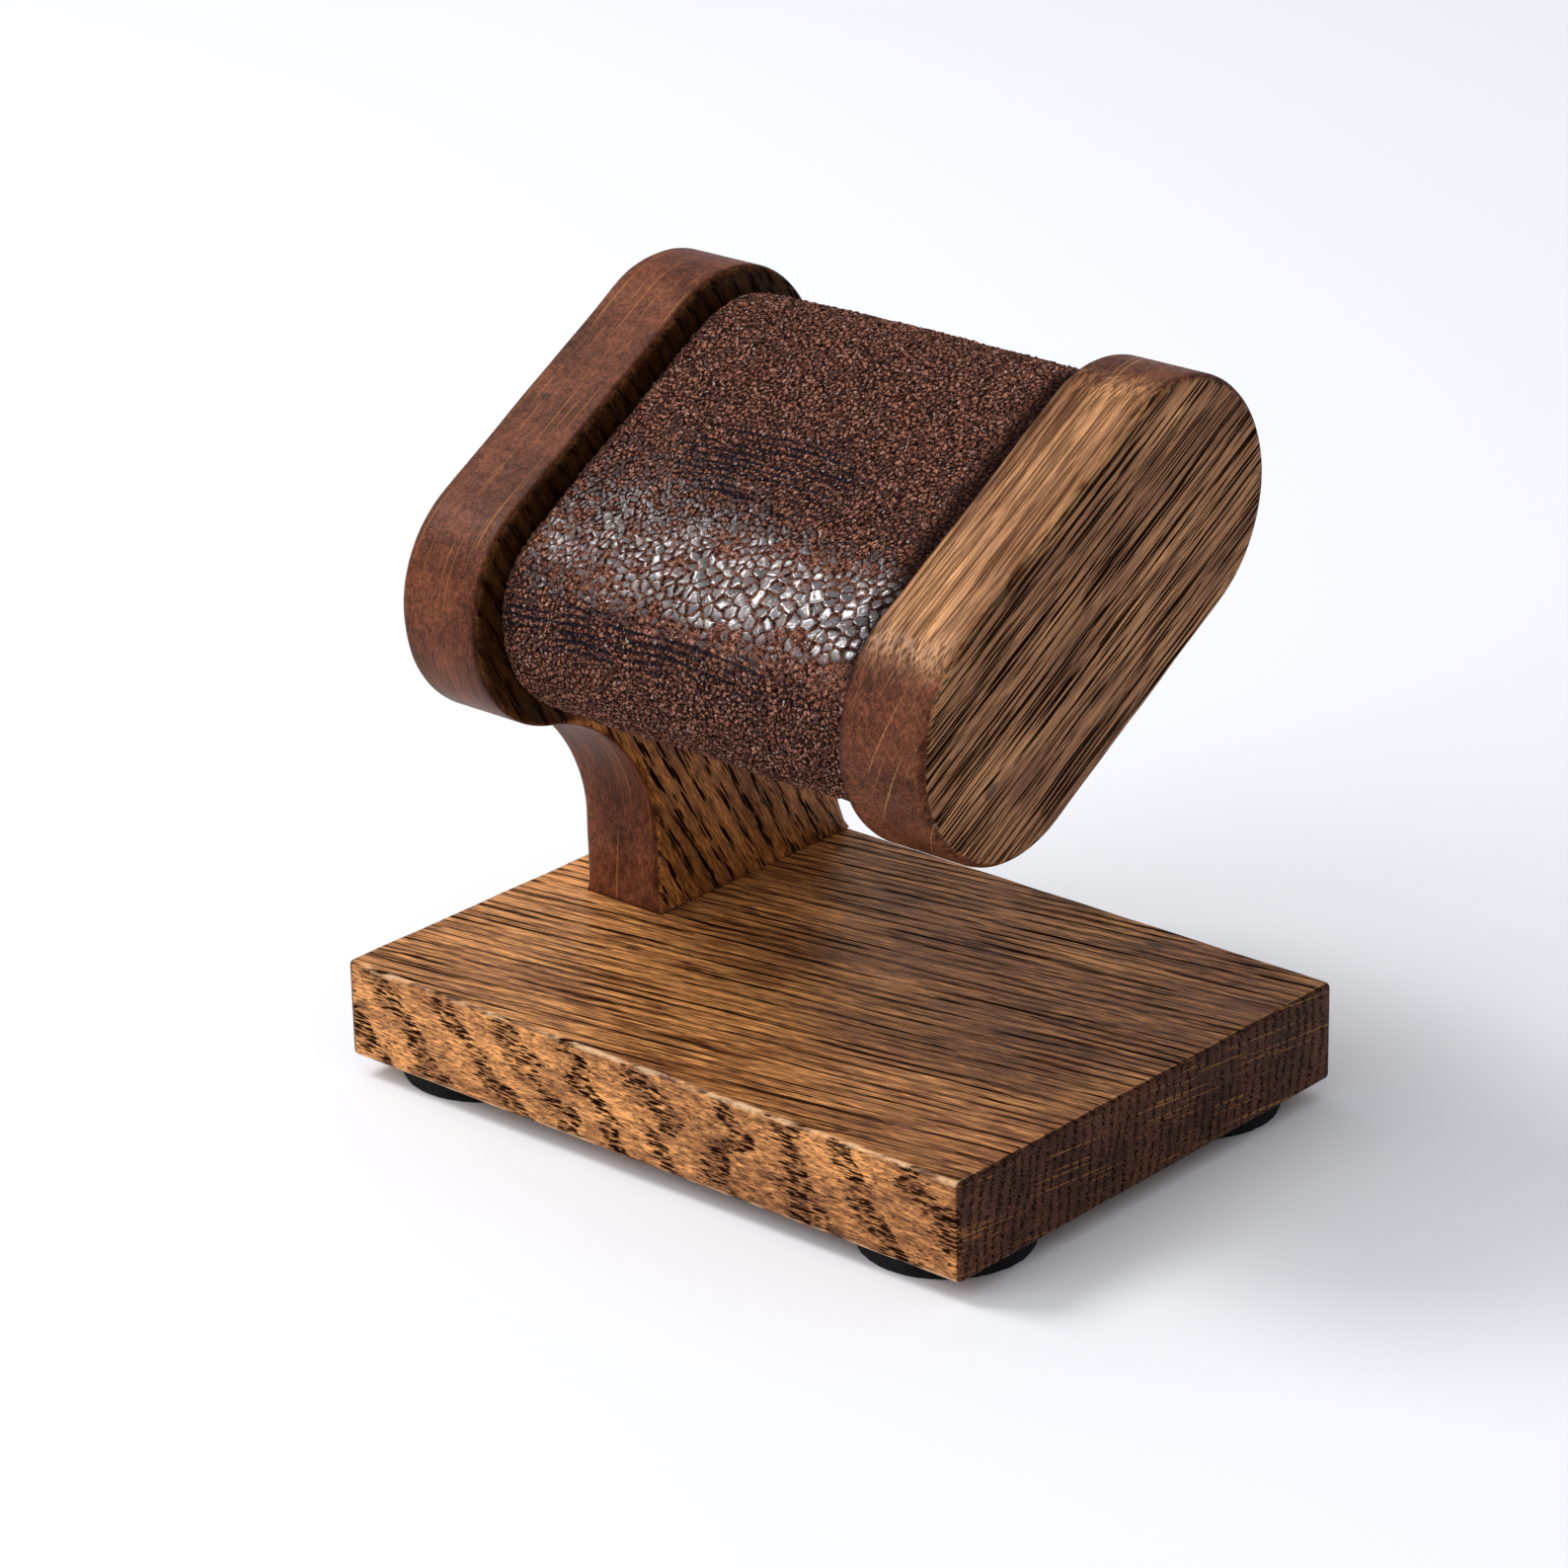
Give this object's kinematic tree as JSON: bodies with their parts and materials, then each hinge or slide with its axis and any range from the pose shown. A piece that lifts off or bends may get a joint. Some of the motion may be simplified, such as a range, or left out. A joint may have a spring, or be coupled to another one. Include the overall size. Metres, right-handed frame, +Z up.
{
  "type": "watch stand",
  "caption": "Small oak display stand: a flat slab carries a shaped leg board, and a sloping leather-covered oval roll is held between the leg's cheek and a free round-ended cheek.",
  "frame": {"origin": "on the resting surface, below the middle of the slab", "axes": "+X to the right along the roll, from the leg to the free cheek; +Y to the back, towards the roll's raised edge; +Z up"},
  "size_m": [0.115, 0.083, 0.1123],
  "materials": {
    "oak_base": "dark-stained open-pored oak, grain left to right, thin satin oil",
    "oak_leg": "dark-stained open-pored oak, grain across the cheek's slope and down the leg, thin satin oil",
    "oak_end": "dark-stained open-pored oak, grain along the cheek's slope, thin satin oil",
    "core_wood": "bare softwood block, never seen",
    "dowel_wood": "bare beech dowel, never seen",
    "wadding": "thin white wadding, never seen",
    "leather": "dark red-brown crackled leather with a waxy dark surface",
    "screw_steel": "zinc-plated wood screw",
    "felt": "pressed black felt"
  },
  "bodies": {
    "root": {"base_slab": "oak_base", "leg_cheek": "oak_leg", "end_cheek": "oak_end", "roll_core": "core_wood", "roll_wadding": "wadding", "leather_cover": "leather", "dowel_left_front": "dowel_wood", "dowel_left_back": "dowel_wood", "dowel_right_front": "dowel_wood", "dowel_right_back": "dowel_wood", "leg_screw_front": "screw_steel", "leg_screw_back": "screw_steel", "felt_pad_front_left": "felt", "felt_pad_front_right": "felt", "felt_pad_back_left": "felt", "felt_pad_back_right": "felt"}
  },
  "joints": []
}
